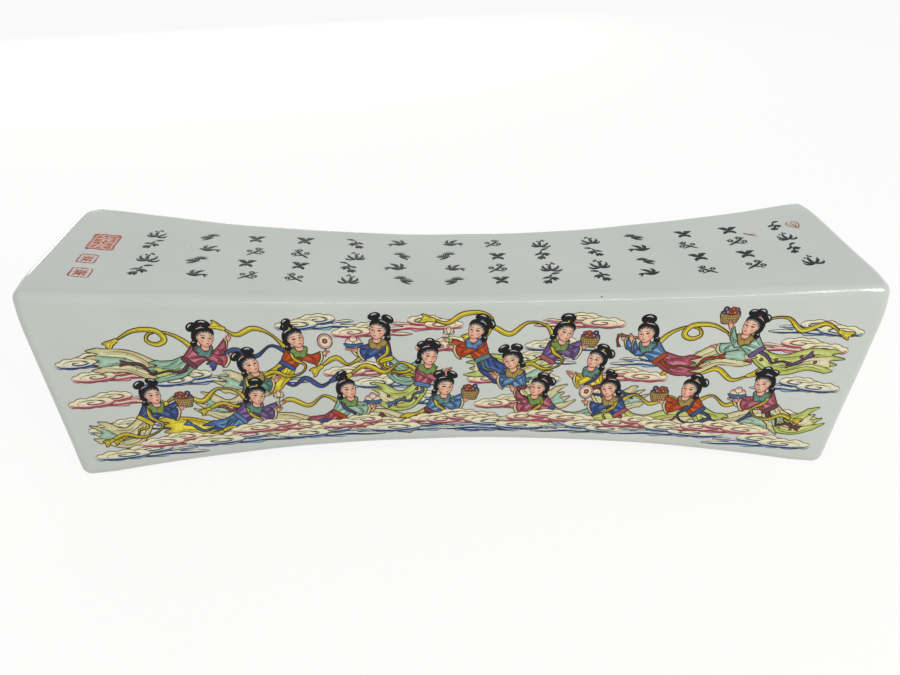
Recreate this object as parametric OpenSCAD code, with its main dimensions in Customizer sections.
// Waisted porcelain pillow, slab built: six curved slabs mitred at the arrises,
// with a clay coil pressed into each of the twelve seams inside.
// The length runs along X, the front faces -Y, and the two feet stand on Z = 0.

/* [Block] */
// Length from end to end, along the top
pillow_length = 400; // [300:5:480]
// Width of the ends, front to back
end_width = 106; // [80:1:140]
// Height of the ends
end_height = 104; // [80:1:140]
// How far each end leans in at its foot
end_lean = 12; // [0:1:25]
// Radius of the outer arrises
edge_radius = 5; // [2:0.5:9]

/* [Waist] */
// Depth of the hollow in the front and in the back at mid length
side_waist = 14; // [0:0.5:20]
// Depth of the neck hollow in the top at mid length
neck_dip = 12; // [0:0.5:20]
// Rise of the base at mid length
base_arch = 8; // [0:0.5:14]
// Length of the flat foot at each end
foot_length = 12; // [6:1:40]

/* [Clay] */
// Thickness of the rolled slabs
slab_thickness = 7; // [5:0.5:12]
// Leg of the clay coils in the inner seams
coil_leg = 6; // [3:0.5:10]
// Diameter of the firing vent in the base
vent_diameter = 9; // [4:0.5:16]

/* [Hidden] */

glaze_white = "#dfe5e1";
biscuit_white = "#e9e4d8";

// Directions of the walls, as signs along X, Y and Z
LEFT = -1;
RIGHT = 1;
FRONT = -1;
BACK = 1;
BASE = -1;
TOP = 1;

// Facets along half an arris and along the arched stretch of the block
arris_steps = 4;
arch_steps = 24;
mitre_angle = 45;
vent_margin = 1;

half_length = pillow_length / 2;
core_half = half_length - edge_radius;
inner_half = half_length - slab_thickness;
land = core_half - foot_length;

// The block's form. Each profile is given at a station, a place along X counted before the ends lean.

// Share of the waist at a station: 1 at mid length, 0 from where the end arrises begin
function waist(station) = max(0, 1 - pow(station / core_half, 2));
function half_width(station) = end_width / 2 - side_waist * waist(station);
function top_height(station) = end_height - neck_dip * waist(station);
function base_height(station) = base_arch * max(0, 1 - pow(station / land, 2));
function wall_height(station, tall) = tall == TOP ? top_height(station) : base_height(station);

// Half length of the core at a height, which shortens from the top arris to the foot as the ends lean in
function core_at(z) = core_half - end_lean * (1 - z / (end_height - edge_radius));

// Place along X of a station at a height, outside and inside the walls
function outer_x(station, z) =
    abs(station) <= core_half
        ? station / core_half * core_at(z)
        : sign(station) * (core_at(z) + abs(station) - core_half);
function inner_x(station, z) = station / inner_half * (core_at(z) + edge_radius - slab_thickness);

// Point of the rounded outside. ring is [station, radius of the arris there], and turn runs round
// the arris from the side wall (0) to the top or the base (90).
function outer_point(ring, turn, side, tall) =
    let (z = wall_height(ring[0], tall) + tall * (ring[1] * sin(turn) - edge_radius),
         y = side * (half_width(ring[0]) - edge_radius + ring[1] * cos(turn)))
    [outer_x(ring[0], z), y, z];

// Point inside the block, at distances from the inner face of a side wall and of the top or base
function inner_point(station, side, from_side, tall, from_tall) =
    let (z = wall_height(station, tall) - tall * (slab_thickness + from_tall))
    [inner_x(station, z), side * (half_width(station) - slab_thickness - from_side), z];

// Rounded end arris: the ring at an angle from the long walls (0) to the end wall (90)
function end_ring(end, angle) = [end * (core_half + edge_radius * sin(angle)), edge_radius * cos(angle)];

// Counts from the seam inwards along a wall: 0 at the seam, arris_steps where the arris ends
seam_steps = [for (i = [0:arris_steps]) i];
function seam_angle(i) = mitre_angle * i / arris_steps;
function seam_offset(i) = coil_leg * i / arris_steps;

// The two edges of a wall in one list: [sign of the edge, steps in from its seam]
function edge_pairs(first) = [
    for (i = seam_steps) [first, i],
    for (i = seam_steps) [-first, arris_steps - i]
];

// Stations along the long walls, from the left arris over the feet and the arch to the right arris
long_rings = [
    for (i = [0:arris_steps - 1]) end_ring(LEFT, mitre_angle - seam_angle(i)),
    [-core_half, edge_radius],
    for (i = [0:arch_steps]) [land * (2 * i / arch_steps - 1), edge_radius],
    [core_half, edge_radius],
    for (i = [1:arris_steps]) end_ring(RIGHT, seam_angle(i))
];
coil_half = inner_half - coil_leg;
long_stations = [
    for (i = [0:arris_steps - 1]) LEFT * (inner_half - seam_offset(i)),
    -coil_half,
    for (i = [0:arch_steps]) land * coil_half / core_half * (2 * i / arch_steps - 1),
    coil_half,
    for (i = [1:arris_steps]) RIGHT * (coil_half + seam_offset(i))
];

// Solid between two grids of points with the same rows and columns: its outside, its inside and
// the four seams. turned is true where the grids run anticlockwise as seen from outside.
module wall_between(outside, inside, turned) {
    rows = len(outside);
    columns = len(outside[0]);
    count = rows * columns;
    function corner(layer, r, c) = layer * count + r * columns + c;
    function quad(a, b, c, d, flip) = flip ? [[a, c, b], [a, d, c]] : [[a, b, c], [a, c, d]];
    skins = [
        for (layer = [0, 1], r = [0:rows - 2], c = [0:columns - 2])
            each quad(corner(layer, r, c), corner(layer, r, c + 1), corner(layer, r + 1, c + 1),
                      corner(layer, r + 1, c), turned != (layer == 1))
    ];
    row_seams = [
        for (r = [0, rows - 1], c = [0:columns - 2])
            each quad(corner(0, r, c), corner(1, r, c), corner(1, r, c + 1), corner(0, r, c + 1),
                      turned != (r > 0))
    ];
    column_seams = [
        for (c = [0, columns - 1], r = [0:rows - 2])
            each quad(corner(0, r, c), corner(0, r + 1, c), corner(1, r + 1, c), corner(1, r, c),
                      turned != (c > 0))
    ];
    polyhedron(
        points = [for (grid = [outside, inside], row = grid) each row],
        faces = concat(skins, row_seams, column_seams)
    );
}

// Top or base slab, between its mitres
module flat_slab(tall) {
    edges = edge_pairs(FRONT);
    wall_between(
        [for (ring = long_rings) [for (e = edges) outer_point(ring, mitre_angle + seam_angle(e[1]), e[0], tall)]],
        [for (s = long_stations) [for (e = edges) inner_point(s, e[0], seam_offset(e[1]), tall, 0)]],
        tall == TOP
    );
}

// Front or back slab, between its mitres
module upright_slab(side) {
    edges = edge_pairs(BASE);
    wall_between(
        [for (ring = long_rings) [for (e = edges) outer_point(ring, mitre_angle - seam_angle(e[1]), side, e[0])]],
        [for (s = long_stations) [for (e = edges) inner_point(s, side, 0, e[0], seam_offset(e[1]))]],
        side == BACK
    );
}

// Point on the outside of an end slab, by the steps in from its side and top or base seams
function end_point(end, across, up) =
    let (p = arris_steps - across[1],
         q = arris_steps - up[1],
         reach = max(p, q),
         turn = reach == 0 ? 0 : p >= q ? mitre_angle * q / p : 90 - mitre_angle * p / q)
    outer_point(end_ring(end, 90 - seam_angle(reach)), turn, across[0], up[0]);

// Left or right end slab, between its mitres
module end_slab(end) {
    wall_between(
        [for (up = edge_pairs(BASE)) [for (across = edge_pairs(FRONT)) end_point(end, across, up)]],
        [for (up = edge_pairs(BASE)) [for (across = edge_pairs(FRONT))
            inner_point(end * inner_half, across[0], seam_offset(across[1]), up[0], seam_offset(up[1]))]],
        end == LEFT
    );
}

// Outline of a coil pressed into a seam, as distances from its two walls: the seam itself, then a
// hollow quarter round from one wall to the other
coil_outline = [
    [0, 0],
    for (i = [0:2 * arris_steps])
        let (turn = 90 * i / (2 * arris_steps))
        coil_leg * [1 - sin(turn), 1 - cos(turn)]
];
// A coil's end is mitred against the two coils that it meets in the corner
function coil_mitre(place) = max(place[0], place[1]);

// Solid swept through rings of points, closed at both ends
module coil_through(rings, turned) {
    sides = len(rings[0]);
    last = len(rings) - 1;
    // The seam's own corner is the hub of each end
    hub = [for (i = [1:sides - 2]) [0, i, i + 1]];
    function flip(face, on) = on ? [face[0], face[2], face[1]] : face;
    walls = [
        for (r = [0:last - 1], i = [0:sides - 1])
            let (a = r * sides + i,
                 b = r * sides + (i + 1) % sides)
            each [flip([a, b, b + sides], turned), flip([a, b + sides, a + sides], turned)]
    ];
    ends = [
        for (face = hub) flip(face, !turned),
        for (face = hub) flip(face + last * sides * [1, 1, 1], turned)
    ];
    polyhedron(points = [for (ring = rings) each ring], faces = concat(walls, ends));
}

// Coil along the length, between the front or back slab and the top or base slab
module long_coil(side, tall) {
    body = [for (i = [arris_steps:len(long_stations) - 1 - arris_steps]) long_stations[i]];
    coil_through(
        [
            [for (o = coil_outline) inner_point(LEFT * (inner_half - coil_mitre(o)), side, o[0], tall, o[1])],
            for (s = [for (i = [1:len(body) - 2]) body[i]])
                [for (o = coil_outline) inner_point(s, side, o[0], tall, o[1])],
            [for (o = coil_outline) inner_point(RIGHT * (inner_half - coil_mitre(o)), side, o[0], tall, o[1])]
        ],
        side != tall
    );
}

// Coil up a corner, between the front or back slab and an end slab
module upright_coil(side, end) {
    coil_through(
        [for (tall = [BASE, TOP])
            [for (o = coil_outline) inner_point(end * (inner_half - o[0]), side, o[1], tall, coil_mitre(o))]],
        side == end
    );
}

// Coil across an end, between the top or base slab and an end slab
module cross_coil(tall, end) {
    coil_through(
        [for (side = [FRONT, BACK])
            [for (o = coil_outline) inner_point(end * (inner_half - o[0]), side, coil_mitre(o), tall, o[1])]],
        tall != end
    );
}

module headrest_slab() {
    color(glaze_white) flat_slab(TOP);
}

// The base is pierced by a vent, which lets the kiln's gases out of the closed block
module base_slab() {
    color(glaze_white)
        difference() {
            flat_slab(BASE);
            translate([0, 0, base_arch - vent_margin])
                cylinder(h = slab_thickness + 2 * vent_margin, d = vent_diameter, $fn = 64);
        }
}

module front_slab() {
    color(glaze_white) upright_slab(FRONT);
}

module back_slab() {
    color(glaze_white) upright_slab(BACK);
}

module left_end_slab() {
    color(glaze_white) end_slab(LEFT);
}

module right_end_slab() {
    color(glaze_white) end_slab(RIGHT);
}

module top_front_coil() {
    color(biscuit_white) long_coil(FRONT, TOP);
}

module top_back_coil() {
    color(biscuit_white) long_coil(BACK, TOP);
}

module base_front_coil() {
    color(biscuit_white) long_coil(FRONT, BASE);
}

module base_back_coil() {
    color(biscuit_white) long_coil(BACK, BASE);
}

module front_left_coil() {
    color(biscuit_white) upright_coil(FRONT, LEFT);
}

module front_right_coil() {
    color(biscuit_white) upright_coil(FRONT, RIGHT);
}

module back_left_coil() {
    color(biscuit_white) upright_coil(BACK, LEFT);
}

module back_right_coil() {
    color(biscuit_white) upright_coil(BACK, RIGHT);
}

module top_left_coil() {
    color(biscuit_white) cross_coil(TOP, LEFT);
}

module top_right_coil() {
    color(biscuit_white) cross_coil(TOP, RIGHT);
}

module base_left_coil() {
    color(biscuit_white) cross_coil(BASE, LEFT);
}

module base_right_coil() {
    color(biscuit_white) cross_coil(BASE, RIGHT);
}

headrest_slab();
base_slab();
front_slab();
back_slab();
left_end_slab();
right_end_slab();
top_front_coil();
top_back_coil();
base_front_coil();
base_back_coil();
front_left_coil();
front_right_coil();
back_left_coil();
back_right_coil();
top_left_coil();
top_right_coil();
base_left_coil();
base_right_coil();
